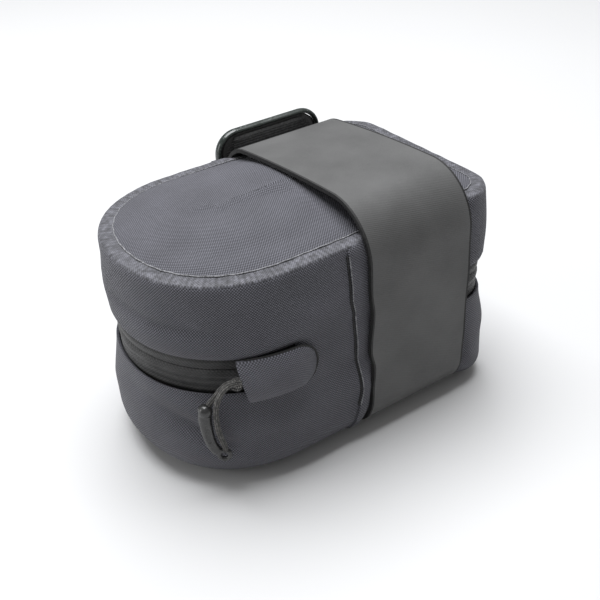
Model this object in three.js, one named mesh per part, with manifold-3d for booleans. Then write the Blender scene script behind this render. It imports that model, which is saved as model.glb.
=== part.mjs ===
// A small saddle bag with a waterproof zip that runs round its nose, its far side and its rear end.
// Millimetres, +Z up. The nose points to -X, the flat rear end to +X, and the zip pull is on the
// near side, -Y. The origin is under the middle of the bag, on the surface that it stands on.
// The near side wall isn't cut by the zip, so it is the cloth hinge that the upper half turns on.
import * as THREE from 'three';
import { mergeVertices } from 'three/addons/utils/BufferGeometryUtils.js';
import Module from 'manifold-3d';

const wasm = await Module();
wasm.setup();

// Driving dimensions
const bagLength = 148;
const bagWidth = 95;
const foldHeight = 91.2; // the folded edge all round the top
const crownHeight = 8; // how far the middle of the top panel stands above the folded edge
const rearCornerRadius = 17;
const noseBottomRadius = 17; // of the lower edge all round, apart from the rear end
const rearBottomRadius = 10;
const bottomFlare = 2; // how far the lower wall stands out of the upright
const flatInset = 19; // the flat underside begins at this inset from the upright
const upperWallThickness = 2.4;
const lowerWallThickness = 3;
const gap = 0.3; // left between pieces that lie on each other

const zipHeight = 53.5; // the line where the two zip tapes meet
const zipTapeTop = 59.3;
const zipTapeBottom = 44;
const zipSlot = 1.6; // left between the tapes for the neck of the slider
const zipStartX = -26; // near side, in the closed end of the garage
const zipEndX = 48; // near side, behind the strap
const seamX = -2; // the seam between the nose cloth and the rear cloth

const strapThickness = 1.6;
const strapFront = 4.3;
const strapWidth = 50;
const strapStandOff = 1.2; // from the upright side walls to the inner face of the strap
const nearBend = { radius: 21.1, z: 79.5 }; // where the strap turns on to the top, at its inner face
const farBend = { radius: 15.7, z: 80.5 };
const strapBottomRadius = 16;
const strapTipHeight = 96.5;
const flapHingeHeight = 22;
const hookThickness = 0.9;

const garageMouthAngle = -117.6; // degrees round the nose, with -90 at the near side
const sliderAngle = -109;
const pullAngle = -127.5; // the pull hangs in the plane that touches the nose at this angle
const pullOffset = 5; // from the nose wall to that plane
const pullKnot = { u: -6.6, w: -0.8, z: 52 };
const cordDiameter = 2.2;

// Derived places
const halfWidth = bagWidth / 2;
const noseCentreX = -bagLength / 2 + halfWidth;
const strapInnerY = halfWidth + strapStandOff;
const radians = THREE.MathUtils.degToRad;

// Finishes
const cloth = { color: 0x45444b, roughness: 0.85, metalness: 0 };
const clothEdge = { color: 0x5c5b62, roughness: 0.9, metalness: 0 };
const foam = { color: 0x2a2a2c, roughness: 0.95, metalness: 0 };
const zipTape = { color: 0x232324, roughness: 0.5, metalness: 0 };
const zipCoil = { color: 0x141415, roughness: 0.4, metalness: 0 };
const strapRubber = { color: 0x4a4b4c, roughness: 0.6, metalness: 0 };
const hookAndLoop = { color: 0x101011, roughness: 1, metalness: 0 };
const blackPlastic = { color: 0x1a1b1c, roughness: 0.3, metalness: 0 };
const blackMetal = { color: 0x202022, roughness: 0.35, metalness: 0.7 };
const cordBraid = { color: 0x2c2b29, roughness: 0.8, metalness: 0 };

const bag = new THREE.Group();

function addPart(name, geometry, finish) {
  const mesh = new THREE.Mesh(geometry, new THREE.MeshStandardMaterial(finish));
  mesh.name = name;
  bag.add(mesh);
}

// Meshes

function signedVolume(positions, triangles) {
  const [a, b, c] = [new THREE.Vector3(), new THREE.Vector3(), new THREE.Vector3()];
  let volume = 0;
  for (let i = 0; i < triangles.length; i += 3) {
    a.fromArray(positions, 3 * triangles[i]);
    b.fromArray(positions, 3 * triangles[i + 1]);
    c.fromArray(positions, 3 * triangles[i + 2]);
    volume += a.dot(b.cross(c)) / 6;
  }
  return volume;
}

function closedMesh(points, triangles) {
  const positions = points.flat();
  const outward = signedVolume(positions, triangles) > 0;
  const index = outward ? triangles : triangles.slice().reverse();
  const geometry = new THREE.BufferGeometry();
  geometry.setAttribute('position', new THREE.Float32BufferAttribute(positions, 3));
  geometry.setIndex(index);
  geometry.computeVertexNormals();
  return geometry;
}

function toManifold(geometry) {
  const bare = geometry.clone();
  bare.deleteAttribute('normal');
  bare.deleteAttribute('uv');
  const merged = mergeVertices(bare, 1e-4);
  const vertProperties = new Float32Array(merged.attributes.position.array);
  const triVerts = new Uint32Array(merged.index.array);
  return new wasm.Manifold(new wasm.Mesh({ numProp: 3, vertProperties, triVerts }));
}

function fromManifold(manifold) {
  const mesh = manifold.getMesh();
  const geometry = new THREE.BufferGeometry();
  geometry.setAttribute('position', new THREE.Float32BufferAttribute(mesh.vertProperties, 3));
  geometry.setIndex(Array.from(mesh.triVerts));
  geometry.computeVertexNormals();
  return geometry;
}

function cut(geometry, ...cutters) {
  const left = cutters.reduce((solid, cutter) => solid.subtract(toManifold(cutter)), toManifold(geometry));
  return fromManifold(left);
}

function join(...geometries) {
  return fromManifold(geometries.map(toManifold).reduce((all, next) => all.add(next)));
}

// Plan outline of the bag. A path is a list of [x, y] points at an inset from the outer wall.

function arcPoints(centreX, centreY, radius, from, to, steps) {
  const points = [];
  for (let i = 0; i <= steps; i++) {
    const angle = radians(from + ((to - from) * i) / steps);
    points.push([centreX + radius * Math.cos(angle), centreY + radius * Math.sin(angle)]);
  }
  return points;
}

// From startX on the near side, round the nose, to endX on the far side
function nosePath(inset, startX, endX) {
  const half = halfWidth - inset;
  return [[startX, -half], ...arcPoints(noseCentreX, 0, half, -90, -270, 24), [endX, half]];
}

// From startX on the far side, round the rear end, to endX on the near side
function rearPath(inset, startX, endX) {
  const half = halfWidth - inset;
  const radius = Math.max(rearCornerRadius - inset, 0.5);
  const centreX = bagLength / 2 - inset - radius;
  const centreY = half - radius;
  return [
    [startX, half],
    ...arcPoints(centreX, centreY, radius, 90, 0, 7),
    ...arcPoints(centreX, -centreY, radius, 0, -90, 7),
    [endX, -half],
  ];
}

function ringPath(inset) {
  const rear = rearPath(inset, seamX, seamX);
  return [...nosePath(inset, seamX, seamX), ...rear.slice(1, -1)];
}

function zipPath(inset) {
  const rear = rearPath(inset, seamX, zipEndX);
  return [...nosePath(inset, zipStartX, seamX), ...rear.slice(1)];
}

// A closed cross-section of [inset, height] corners carried along a path. sectionAt gives the section
// at a distance x along the bag, always with the same number of corners.
function sweep(sectionAt, path, closed) {
  const places = path(0).map(([x]) => x);
  const stations = places.length;
  const sections = places.map(sectionAt);
  const corners = sections[0].length;
  const points = [];
  for (let corner = 0; corner < corners; corner++) {
    sections.forEach((section, station) => {
      const [inset, height] = section[corner];
      points.push([...path(inset)[station], height]);
    });
  }
  const at = (corner, station) => (corner % corners) * stations + (station % stations);
  const triangles = [];
  const spans = closed ? stations : stations - 1;
  for (let corner = 0; corner < corners; corner++) {
    for (let station = 0; station < spans; station++) {
      const [a, b] = [at(corner, station), at(corner, station + 1)];
      const [c, d] = [at(corner + 1, station + 1), at(corner + 1, station)];
      triangles.push(a, b, c, a, c, d);
    }
  }
  if (!closed) {
    triangles.push(...endCap(sections[0], (corner) => at(corner, 0), true));
    triangles.push(...endCap(sections[stations - 1], (corner) => at(corner, stations - 1), false));
  }
  return closedMesh(points, triangles);
}

// Triangles over one end of a sweep, turned to agree with its sides
function endCap(section, cornerIndex, isFirst) {
  const outline = section.map(([inset, height]) => new THREE.Vector2(inset, height));
  const clockwise = THREE.ShapeUtils.isClockWise(outline);
  const cap = THREE.ShapeUtils.triangulateShape(outline, []);
  const turn = clockwise === isFirst;
  return cap.flatMap(([i, j, k]) => (turn ? [k, j, i] : [i, j, k]).map(cornerIndex));
}

// A solid between two grids of points, of the same rows and columns
function gridSolid(outer, inner) {
  const rows = outer.length;
  const columns = outer[0].length;
  const points = [...outer.flat(), ...inner.flat()];
  const front = (r, c) => r * columns + c;
  const back = (r, c) => rows * columns + r * columns + c;
  const triangles = [];
  const quad = (a, b, c, d) => triangles.push(a, b, c, a, c, d);
  for (let r = 0; r < rows - 1; r++) {
    for (let c = 0; c < columns - 1; c++) {
      quad(front(r, c), front(r, c + 1), front(r + 1, c + 1), front(r + 1, c));
      quad(back(r, c), back(r + 1, c), back(r + 1, c + 1), back(r, c + 1));
    }
  }
  for (let r = 0; r < rows - 1; r++) {
    quad(front(r, 0), front(r + 1, 0), back(r + 1, 0), back(r, 0));
    quad(front(r + 1, columns - 1), front(r, columns - 1), back(r, columns - 1), back(r + 1, columns - 1));
  }
  for (let c = 0; c < columns - 1; c++) {
    quad(front(0, c + 1), front(0, c), back(0, c), back(0, c + 1));
    quad(front(rows - 1, c), front(rows - 1, c + 1), back(rows - 1, c + 1), back(rows - 1, c));
  }
  return closedMesh(points, triangles);
}

function box(minimum, maximum) {
  const size = maximum.map((value, i) => value - minimum[i]);
  const middle = maximum.map((value, i) => (value + minimum[i]) / 2);
  return new THREE.BoxGeometry(...size).translate(...middle);
}

// Top and bottom

// Height above a panel's edge of its crowned surface, at an inset from the outer wall
function crownAt(inset) {
  const inward = Math.min(inset / halfWidth, 1);
  return crownHeight * (1 - (1 - inward) ** 2);
}

// A sheet with the plan outline, inset at its edge, that follows the crown
function crownedSheet(edgeInset, underside, thickness) {
  const insets = [edgeInset, edgeInset + 4, 18, 26, 34, 42];
  const rise = (inset) => crownAt(inset) - crownAt(edgeInset);
  const upper = insets.map((inset) => [inset, underside + thickness + rise(inset)]);
  const lower = insets.map((inset) => [inset, underside + rise(inset)]).reverse();
  return discFromRings([...upper.reverse(), ...lower.reverse()], ringPath);
}

// Rings from the middle of one face, over the edge, to the middle of the other face
function discFromRings(section, path) {
  const rings = section.map(([inset, height]) => path(inset).map(([x, y]) => [x, y, height]));
  const stations = rings[0].length;
  const points = rings.flat();
  const triangles = [];
  for (let ring = 0; ring < rings.length - 1; ring++) {
    for (let station = 0; station < stations; station++) {
      const next = (station + 1) % stations;
      const [a, b] = [ring * stations + station, ring * stations + next];
      const [c, d] = [b + stations, a + stations];
      triangles.push(a, b, c, a, c, d);
    }
  }
  for (const [ring, firstWay] of [[0, true], [rings.length - 1, false]]) {
    const middle = points.length;
    const middleX = rings[ring].reduce((sum, [x]) => sum + x, 0) / stations;
    points.push([middleX, 0, section[ring][1]]);
    for (let station = 0; station < stations; station++) {
      const here = ring * stations + station;
      const next = ring * stations + ((station + 1) % stations);
      triangles.push(...(firstWay ? [middle, next, here] : [middle, here, next]));
    }
  }
  return closedMesh(points, triangles);
}

function makeTop() {
  const panelUnderside = foldHeight + gap;
  const foamEdge = 12.4;
  const foamThickness = 2.2;
  const borderSection = [[0.8, 90.2], [0.8, foldHeight], [12, foldHeight], [12, 90.2]];
  const border = sweep(() => borderSection, ringPath, true);
  addPart('weld_border', cut(border, strapOverChannel()), clothEdge);
  addPart('top_panel', crownedSheet(6.5, panelUnderside, 1), cloth);
  const foamUnderside = panelUnderside + crownAt(foamEdge) - crownAt(6.5) - gap - foamThickness;
  addPart('top_foam_sheet', crownedSheet(foamEdge, foamUnderside, foamThickness), foam);
}

// Walls

function upperWallSection() {
  const outer = [[0.8, 89.9], [0, 86], [-0.8, 74], [-0.4, 64], [0.6, zipTapeTop + gap]];
  const inner = outer.map(([inset, height]) => [inset + upperWallThickness, height]).reverse();
  return [...outer, ...inner];
}

// The lower edge is rounder at the nose and the sides than at the rear end
function lowerWallSection(x) {
  const rearCornerStart = bagLength / 2 - rearCornerRadius;
  const share = THREE.MathUtils.clamp((x - rearCornerStart) / 7, 0, 1);
  const radius = noseBottomRadius + (rearBottomRadius - noseBottomRadius) * share;
  const outer = [[0.6, zipTapeBottom - gap], [-0.6 * bottomFlare, 37], [-bottomFlare, 28]];
  const inner = outer.map(([inset, height]) => [inset + lowerWallThickness, height]);
  const bend = (reach) => arcPoints(radius - bottomFlare, radius, reach, 180, 270, 7);
  const outerBend = bend(radius);
  const innerBend = bend(radius - lowerWallThickness).reverse();
  const flat = [[flatInset, 0], [flatInset, lowerWallThickness]];
  return [...outer, ...outerBend, ...flat, ...innerBend, ...inner.reverse()];
}

const noseWallPath = (inset) => nosePath(inset, seamX - gap / 2, seamX - gap / 2);
const rearWallPath = (inset) => rearPath(inset, seamX + gap / 2, seamX + gap / 2);

function makeWalls() {
  addPart('upper_wall_nose', sweep(upperWallSection, noseWallPath, false), cloth);
  addPart('upper_wall_rear', cut(sweep(upperWallSection, rearWallPath, false), strapOverChannel()), cloth);
  addPart('lower_wall_nose', sweep(lowerWallSection, noseWallPath, false), cloth);
  addPart('lower_wall_rear', cut(sweep(lowerWallSection, rearWallPath, false), strapUnderChannel()), cloth);
  const panelEdge = flatInset + 0.4;
  const panel = discFromRings([[36, 3], [panelEdge, 3], [panelEdge, 0], [36, 0]], ringPath);
  addPart('bottom_panel', cut(panel, strapUnderChannel()), cloth);
  const foamEdge = flatInset + 1;
  const foamSection = [[36, 6], [foamEdge, 6], [foamEdge, 3.3], [36, 3.3]];
  addPart('bottom_foam_sheet', discFromRings(foamSection, ringPath), foam);
  const hingeFrom = zipStartX + gap;
  const hingeTo = zipEndX - gap;
  const inner = -halfWidth + upperWallThickness;
  const upper = box([hingeFrom, -halfWidth, zipHeight + gap], [hingeTo, inner, zipTapeTop]);
  const lower = box([hingeFrom, -halfWidth, zipTapeBottom], [hingeTo, inner, zipHeight - gap]);
  addPart('side_hinge_cloth_upper', upper, cloth);
  addPart('side_hinge_cloth_lower', lower, cloth);
}

// Zip

function makeZip() {
  const slotTop = zipHeight + zipSlot / 2;
  const slotBottom = zipHeight - zipSlot / 2;
  const strip = (from, to, low, high) => {
    const section = [[from, low], [from, high], [to, high], [to, low]];
    return sweep(() => section, zipPath, false);
  };
  addPart('upper_zip_tape', strip(1.6, 2.6, slotTop, zipTapeTop), zipTape);
  addPart('lower_zip_tape', strip(1.6, 2.6, zipTapeBottom, slotBottom), zipTape);
  addPart('upper_zip_coil', strip(2.9, 4.6, slotTop + 0.1, slotTop + 1.9), zipCoil);
  addPart('lower_zip_coil', strip(2.9, 4.6, slotBottom - 1.9, slotBottom - 0.1), zipCoil);
  const stopDepth = [-halfWidth + 2.9, -halfWidth + 4.9];
  const stopHeight = [slotBottom - 2.1, slotBottom - 0.1];
  const stop = (from, to) => box([from, stopDepth[0], stopHeight[0]], [to, stopDepth[1], stopHeight[1]]);
  addPart('zip_start_stop', stop(zipStartX + gap, zipStartX + 3), blackMetal);
  addPart('zip_end_stop', stop(zipEndX - 3, zipEndX - gap), blackMetal);
}

// A block that follows the nose arc, between two insets and two heights
function noseBlock(fromAngle, toAngle, insets, heights) {
  const path = (inset) => arcPoints(noseCentreX, 0, halfWidth - inset, fromAngle, toAngle, 4);
  const [outer, inner] = insets;
  const [low, high] = heights;
  return sweep(() => [[outer, low], [outer, high], [inner, high], [inner, low]], path, false);
}

function makeSlider() {
  const outerPlate = noseBlock(sliderAngle + 5, sliderAngle - 5, [-0.8, 0.5], [49.5, 57.5]);
  const neck = noseBlock(sliderAngle + 2.5, sliderAngle - 2.5, [0.2, 5.4], [zipHeight - 0.5, zipHeight + 0.5]);
  const innerPlate = noseBlock(sliderAngle + 5, sliderAngle - 5, [5, 6.2], [49.8, 57.2]);
  const bailHeights = [52.3, 54.7];
  const crown = noseBlock(sliderAngle + 3, sliderAngle - 8.4, [-2.4, -1.6], bailHeights);
  const foot = noseBlock(sliderAngle + 3, sliderAngle + 1.6, [-2.4, -1.1], bailHeights);
  const heel = noseBlock(sliderAngle - 3.6, sliderAngle - 5, [-2.4, -1.1], bailHeights);
  addPart('slider_body', join(outerPlate, neck, innerPlate), blackMetal);
  addPart('slider_bail', join(crown, foot, heel), blackMetal);
}

// Garage: a cloth hood over the parked slider, open at its mouth. Its columns follow the zip line
// from the mouth to the closed round end, and its rows cross the zip.

function garagePoint(along, across, lift) {
  const mouth = radians(garageMouthAngle);
  const arcLength = halfWidth * (radians(-90) - mouth);
  const outward = halfWidth + lift;
  if (along < arcLength) {
    const angle = mouth + along / halfWidth;
    return [noseCentreX + outward * Math.cos(angle), outward * Math.sin(angle), across];
  }
  return [noseCentreX + along - arcLength, -outward, across];
}

function garageHalf(fromHeight, side) {
  const length = 29.4;
  const columns = 10;
  const rows = 5;
  const middle = 50.4;
  const halfHeight = 9.1;
  const mouthSlant = 0.2; // the mouth's upper end lies further round the nose than its lower end
  const thickness = 1.1;
  const surface = (drop) => {
    const grid = [];
    for (let row = 0; row < rows; row++) {
      const line = [];
      for (let column = 0; column < columns; column++) {
        const share = column / (columns - 1);
        const past = Math.max(share * length - (length - halfHeight), 0) / (halfHeight + 0.4);
        const rounded = Math.sqrt(1 - past * past);
        const edge = middle + side * halfHeight * rounded;
        const end = side > 0 ? Math.max(edge, fromHeight + 1) : Math.min(edge, fromHeight - 1);
        const height = fromHeight + ((end - fromHeight) * row) / (rows - 1);
        const across = (height - middle) / (halfHeight + 0.2);
        const arch = Math.sqrt(Math.max(1 - across * across, 0));
        const lift = 1.2 + (4.4 - 3 * share) * arch * rounded + thickness - drop;
        const along = share * length - (height - middle) * mouthSlant * (1 - share);
        line.push(garagePoint(along, height, lift));
      }
      grid.push(line);
    }
    return grid;
  };
  return gridSolid(surface(0), surface(thickness));
}

function makeGarage() {
  addPart('garage_upper', garageHalf(zipHeight + gap, 1), cloth);
  addPart('garage_lower', garageHalf(zipHeight - gap, -1), cloth);
}

// Strap. Its sections are drawn in the Y-Z plane and extruded along X.

// The inner curve from the near side, under the bag, to the far side
function strapUnderCurve() {
  const centreY = strapInnerY - strapBottomRadius;
  const centreZ = strapBottomRadius + strapThickness;
  return [
    [-strapInnerY, zipHeight - gap],
    ...arcPoints(-centreY, centreZ, strapBottomRadius, 180, 270, 8),
    ...arcPoints(centreY, centreZ, strapBottomRadius, 270, 360, 8),
    [strapInnerY, flapHingeHeight - gap],
  ];
}

// The room that the strap takes under the bag and up its sides
function strapUnderChannel() {
  const curve = [...strapUnderCurve(), [strapInnerY, zipTapeBottom]];
  return strapBand(curve, -0.4, 8, strapFront - 0.8, strapWidth + 1.6);
}

nearBend.y = nearBend.radius - strapInnerY;
farBend.y = strapInnerY - farBend.radius;
const strapSplitAngle = 118; // round the near bend, where the lifting part begins
const crownEndAngle = 83; // round the far bend, where the top stretch ends

function bendPoints(bend, from, to, steps) {
  return arcPoints(bend.y, bend.z, bend.radius, from, to, steps);
}

function strapNearCurve() {
  return [[-strapInnerY, zipHeight + gap], ...bendPoints(nearBend, 180, strapSplitAngle + 1, 6)];
}

function strapOverCurve() {
  const start = bendPoints(nearBend, strapSplitAngle - 1, 90, 3);
  const end = bendPoints(farBend, crownEndAngle, 0, 7);
  const crown = [];
  const crownSteps = 10;
  const crownRise = 0.8;
  const [fromY, fromZ] = start[start.length - 1];
  const [toY, toZ] = end[0];
  for (let step = 1; step < crownSteps; step++) {
    const share = step / crownSteps;
    const rise = 4 * crownRise * share * (1 - share);
    crown.push([fromY + (toY - fromY) * share, fromZ + (toZ - fromZ) * share + rise]);
  }
  return [...start, ...crown, ...end, [strapInnerY, 56]];
}

// The room that the strap takes where it bends over the upper edges of the bag
function strapOverChannel() {
  const curve = [...strapNearCurve(), ...strapOverCurve()];
  return strapBand(curve, -0.35, 8, strapFront - 0.8, strapWidth + 1.6, -1);
}

const flapInnerY = strapInnerY + strapThickness + 2 * hookThickness + 3 * gap;

function strapEndCurve() {
  return [[strapInnerY + 0.1, flapHingeHeight + 0.2], [flapInnerY, 50], [flapInnerY, strapTipHeight]];
}

function offsetCurve(curve, distance) {
  return curve.map((point, i) => {
    const before = curve[Math.max(i - 1, 0)];
    const after = curve[Math.min(i + 1, curve.length - 1)];
    const along = new THREE.Vector2(after[0] - before[0], after[1] - before[1]).normalize();
    return [point[0] + along.y * distance, point[1] - along.x * distance];
  });
}

// A band that lies between two offsets of a Y-Z curve, from startX, width long
function strapBand(curve, from, to, startX, width, side = 1) {
  const inner = offsetCurve(curve, from * side);
  const outer = offsetCurve(curve, to * side);
  const shape = new THREE.Shape([...inner, ...outer.reverse()].map(([y, z]) => new THREE.Vector2(y, z)));
  const band = new THREE.ExtrudeGeometry(shape, { depth: width, bevelEnabled: false });
  const turn = new THREE.Matrix4().makeBasis(
    new THREE.Vector3(0, 1, 0),
    new THREE.Vector3(0, 0, 1),
    new THREE.Vector3(1, 0, 0),
  );
  return band.applyMatrix4(turn).translate(startX, 0, 0);
}

// A sheet that stands at fromY, with rounded upper corners
function standingSheet(startX, endX, bottom, top, radius, fromY, thickness) {
  const shape = new THREE.Shape();
  shape.moveTo(startX, bottom);
  shape.lineTo(endX, bottom);
  shape.lineTo(endX, top - radius);
  shape.absarc(endX - radius, top - radius, radius, 0, Math.PI / 2, false);
  shape.absarc(startX + radius, top - radius, radius, Math.PI / 2, Math.PI, false);
  shape.closePath();
  const sheet = new THREE.ExtrudeGeometry(shape, { depth: thickness, bevelEnabled: false, curveSegments: 6 });
  return sheet.rotateX(Math.PI / 2).translate(0, fromY + thickness, 0);
}

function makeStrap() {
  const end = strapFront + strapWidth;
  const tipRadius = 8;
  const bindingWidth = 2.2;
  const band = (curve, side) => strapBand(curve, 0, strapThickness, strapFront, strapWidth, side);
  addPart('strap_under', band(strapUnderCurve(), 1), strapRubber);
  addPart('strap_near_side', band(strapNearCurve(), -1), strapRubber);
  addPart('strap_over', band(strapOverCurve(), -1), strapRubber);
  const loopY = strapInnerY + strapThickness + gap;
  const loop = standingSheet(strapFront + 2, end - 2, 58, 79, 3, loopY, hookThickness);
  addPart('strap_loop_patch', loop, hookAndLoop);
  const flap = band(strapEndCurve(), 1);
  const flapOutline = standingSheet(strapFront, end, 0, strapTipHeight, tipRadius, 40, 30);
  const trimmed = fromManifold(toManifold(flap).intersect(toManifold(flapOutline)));
  addPart('strap_end', trimmed, strapRubber);
  const hookY = flapInnerY - gap - hookThickness;
  const hook = standingSheet(strapFront + 1.5, end - 1.5, 60, strapTipHeight - 1.8, 7, hookY, hookThickness);
  addPart('strap_hook_patch', hook, hookAndLoop);
  const bindingY = hookY - 0.2;
  const bindingDepth = flapInnerY + strapThickness + 0.4 - bindingY;
  const low = 82;
  const reach = gap + bindingWidth;
  const outline = [strapFront - reach, end + reach, low, strapTipHeight + reach];
  const rim = standingSheet(...outline, tipRadius + reach, bindingY, bindingDepth);
  const inside = [strapFront - gap, end + gap, low - 5, strapTipHeight + gap];
  const hole = standingSheet(...inside, tipRadius + gap, bindingY - 2, bindingDepth + 4);
  addPart('strap_end_binding', cut(rim, hole), blackPlastic);
}

// Zip pull. Its flat layout has u along the nose tangent, away from the garage, and w outward.

function pullPoint(u, w, z) {
  const angle = radians(pullAngle);
  const radius = halfWidth + pullOffset + w;
  const x = noseCentreX + radius * Math.cos(angle) + u * Math.sin(angle);
  const y = radius * Math.sin(angle) - u * Math.cos(angle);
  return new THREE.Vector3(x, y, z);
}

function tube(route, section, steps) {
  const curve = new THREE.CatmullRomCurve3(route.map(([u, w, z]) => pullPoint(u, w, z)));
  return new THREE.ExtrudeGeometry(section, { steps, extrudePath: curve });
}

function roundSection(radius, sides) {
  const shape = new THREE.Shape();
  for (let i = 0; i < sides; i++) {
    const angle = (2 * Math.PI * i) / sides;
    const place = [radius * Math.cos(angle), radius * Math.sin(angle)];
    if (i === 0) shape.moveTo(...place);
    else shape.lineTo(...place);
  }
  shape.closePath();
  return shape;
}

const shortStrand = [
  [-3.6, -1.9, 51.2], [-2, -1.7, 50.3], [-0.4, -1.5, 48.6], [1, -1.3, 46.7], [2.4, -0.8, 45], [3.6, 0, 43.9],
];
const longStrand = [
  [-3.9, 0.7, 52.2], [-2.6, 1.2, 51.3], [-1.2, 1.5, 49.6], [0.4, 1.8, 46.3], [1.4, 2, 42], [1.6, 2.2, 38],
  [1.4, 2.4, 34], [0.8, 2.4, 30.2], [0, 2.3, 27], [-0.5, 2, 24.6],
];
const gripSpine = [
  [5.5, 1.3, 42], [5.9, 1.5, 38], [5.7, 1.8, 34], [5.1, 2, 29.5], [4.1, 2, 25.5], [2.5, 2, 22.4], [0.8, 2, 21],
];

function makePull() {
  const knot = new THREE.SphereGeometry(2.2, 12, 8);
  knot.translate(...pullPoint(pullKnot.u, pullKnot.w, pullKnot.z).toArray());
  addPart('pull_knot', knot, cordBraid);
  addPart('pull_cord_short', tube(shortStrand, roundSection(cordDiameter / 2, 8), 6), cordBraid);
  addPart('pull_cord_long', tube(longStrand, roundSection(cordDiameter / 2, 8), 12), cordBraid);
  const body = tube(gripSpine, roundSection(2.1, 10), 12);
  const upperEnd = new THREE.SphereGeometry(2.4, 12, 8).translate(...pullPoint(5.5, 1.3, 41).toArray());
  const lowerEnd = new THREE.SphereGeometry(2.8, 12, 8).translate(...pullPoint(0, 2, 20.8).toArray());
  addPart('pull_grip', join(body, upperEnd, lowerEnd), blackPlastic);
}

makeTop();
makeWalls();
makeZip();
makeGarage();
makeStrap();
makeSlider();
makePull();

export default bag;
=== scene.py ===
"""The looks of a small saddle bag: welded cloth shell, waterproof zip, cord pull and wide rubberised strap.

Lengths are in millimetres until a point is placed, when MM turns them into metres. The nose points to -X,
the rear end to +X, and the side with the zip garage is -Y. Cloth that crosses the hinge of the upper half,
and strap where it folds, is one mesh, attached to no body.
"""
import math

import bmesh
import bpy
import numpy as np
from mathutils import Matrix, Vector


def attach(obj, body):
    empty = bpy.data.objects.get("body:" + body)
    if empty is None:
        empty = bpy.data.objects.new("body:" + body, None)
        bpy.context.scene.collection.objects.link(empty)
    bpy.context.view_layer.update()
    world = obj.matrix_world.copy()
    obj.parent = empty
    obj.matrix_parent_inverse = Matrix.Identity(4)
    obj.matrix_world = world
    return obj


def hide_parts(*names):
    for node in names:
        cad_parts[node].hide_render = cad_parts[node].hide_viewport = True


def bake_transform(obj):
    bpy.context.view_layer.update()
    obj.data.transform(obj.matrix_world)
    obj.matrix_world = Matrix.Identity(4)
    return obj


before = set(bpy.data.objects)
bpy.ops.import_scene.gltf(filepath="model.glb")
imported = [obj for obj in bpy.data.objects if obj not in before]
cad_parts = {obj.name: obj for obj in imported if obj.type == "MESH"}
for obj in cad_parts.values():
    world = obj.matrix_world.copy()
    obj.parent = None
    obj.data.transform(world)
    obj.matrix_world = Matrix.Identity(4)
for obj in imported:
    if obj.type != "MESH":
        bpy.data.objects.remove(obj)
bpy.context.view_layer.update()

MM = 0.001

# Shell
LENGTH = 148
WIDTH = 95
HALF = WIDTH / 2
NOSE_X = -LENGTH / 2 + HALF
NOSE_FULLNESS = 1.4
REAR_CORNER = 17
FOLD_HEIGHT = 91.2
WELD_INSET = 6.5
CROWN = 8
SIDE_BOTTOM_RADIUS = 17
REAR_BOTTOM_RADIUS = 10
FLARE = 2
FLAT_INSET = 19
CLOTH = 0.9
SEAM_X = -2

# Zip
ZIP_HEIGHT = 53.5
TAPE_TOP = 59.3
TAPE_BOTTOM = 44
ZIP_START_X = -26
ZIP_END_X = 48

# Strap
STRAP_FRONT = 4.3
STRAP_WIDTH = 50
STRAP_MIDDLE = STRAP_FRONT + STRAP_WIDTH / 2
STRAP_THICKNESS = 1.6
STRAP_INNER_Y = 48.7
STRAP_OUTER_Y = STRAP_INNER_Y + STRAP_THICKNESS
NEAR_RADIUS, NEAR_Z = 21.1, 79.5
FAR_RADIUS, FAR_Z = 15.7, 80.5
BOTTOM_RADIUS = 16
STRAP_JOINT_Z = 68
TIP_HEIGHT = 96.5
TIP_RADIUS = 8
FLAP_Y = 53

# Pull
PULL_ANGLE = math.radians(-127.5)
PULL_RADIUS = HALF + 5
CORD_DIAMETER = 2.2
KNOT = (-6.6, -0.8, 52)
SHORT_STRAND = [
    (-3.6, -1.9, 51.2), (-2, -1.7, 50.3), (-0.4, -1.5, 48.6), (1, -1.3, 46.7), (2.4, -0.8, 45), (3.6, 0, 43.9),
]
LONG_STRAND = [
    (-3.9, 0.7, 52.2), (-2.6, 1.2, 51.3), (-1.2, 1.5, 49.6), (0.4, 1.8, 46.3), (1.4, 2, 42), (1.6, 2.2, 38),
    (1.4, 2.4, 34), (0.8, 2.4, 30.2), (0, 2.3, 27), (-0.5, 2, 24.6),
]
GRIP_SPINE = [
    (5.5, 1.3, 42), (5.9, 1.5, 38), (5.7, 1.8, 34), (5.1, 2, 29.5), (4.1, 2, 25.5), (2.5, 2, 22.4), (0.8, 2, 21),
]
GRIP_RING = (0, 2, 20.8)


# Small tools


def deselect():
    if bpy.context.mode != "OBJECT":
        bpy.ops.object.mode_set(mode="OBJECT")
    bpy.ops.object.select_all(action="DESELECT")


def make_active(piece):
    deselect()
    piece.select_set(True)
    bpy.context.view_layer.objects.active = piece


def start_piece(name):
    """Names the primitive that an operator has just added."""
    piece = bpy.context.active_object
    piece.name = name
    piece.data.name = name
    return piece


def set_in_place(piece):
    """Leaves the object at the origin, with its place in its mesh."""
    make_active(piece)
    bpy.ops.object.transform_apply(location=True, rotation=True, scale=True)
    return piece


def add_modifier(piece, kind, **values):
    """Adds a modifier, sets it and applies it."""
    make_active(piece)
    modifier = piece.modifiers.new(kind.title(), kind)
    for key, value in values.items():
        setattr(modifier, key, value)
    bpy.ops.object.modifier_apply(modifier=modifier.name)


def smooth(piece, angle=40):
    make_active(piece)
    bpy.ops.object.shade_smooth_by_angle(angle=math.radians(angle))


def thicken(piece, thickness, rim_slot=1, even=True):
    """Gives a sheet its thickness on the inner side. The rim shows the cut edge of the material."""
    add_modifier(
        piece, "SOLIDIFY", thickness=thickness * MM, offset=-1, use_even_offset=even,
        material_offset_rim=rim_slot,
    )


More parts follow.
